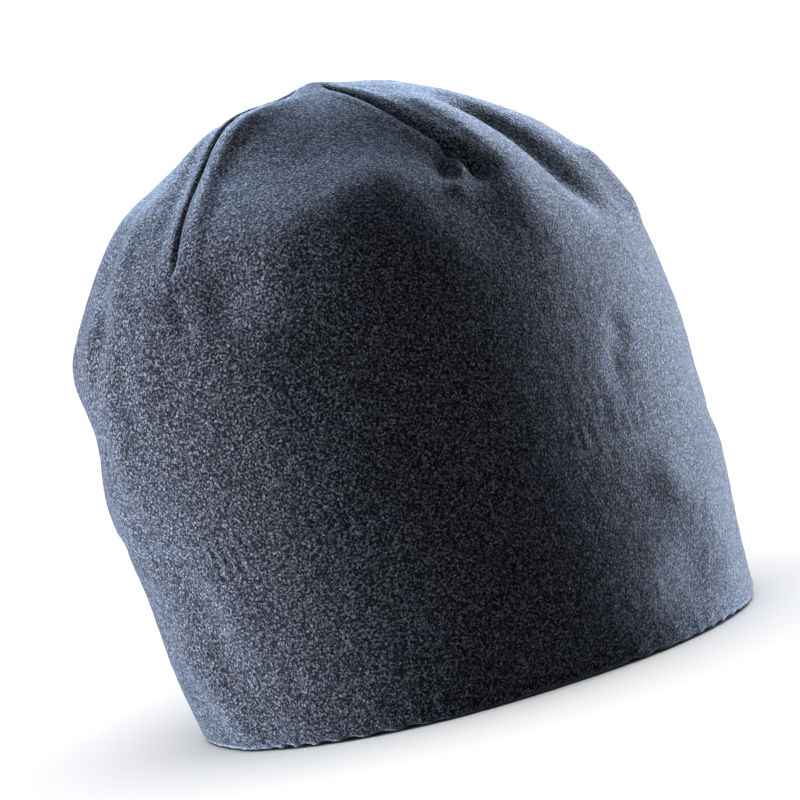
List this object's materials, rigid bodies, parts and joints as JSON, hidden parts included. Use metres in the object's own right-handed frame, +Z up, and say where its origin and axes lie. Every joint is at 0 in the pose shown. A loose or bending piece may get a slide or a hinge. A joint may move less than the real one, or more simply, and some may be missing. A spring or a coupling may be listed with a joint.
{
  "type": "fleece toque",
  "caption": "Soft domed fleece cap with darts meeting at the crown and the lower edge turned up inside as a double ear band.",
  "frame": {"origin": "under the middle of the cap's outline, on the surface that its rim rests on", "axes": "+Z up from the rim to the apex, -Y to the front of the cap, +X to the wearer's left; the cap is longest from front to back"},
  "size_m": [0.1702, 0.2046, 0.1866],
  "materials": {
    "crown": "napped fleece, matte",
    "ear_band": "napped fleece, matte"
  },
  "bodies": {
    "root": {"crown": "crown", "ear_band": "ear_band"}
  },
  "joints": []
}
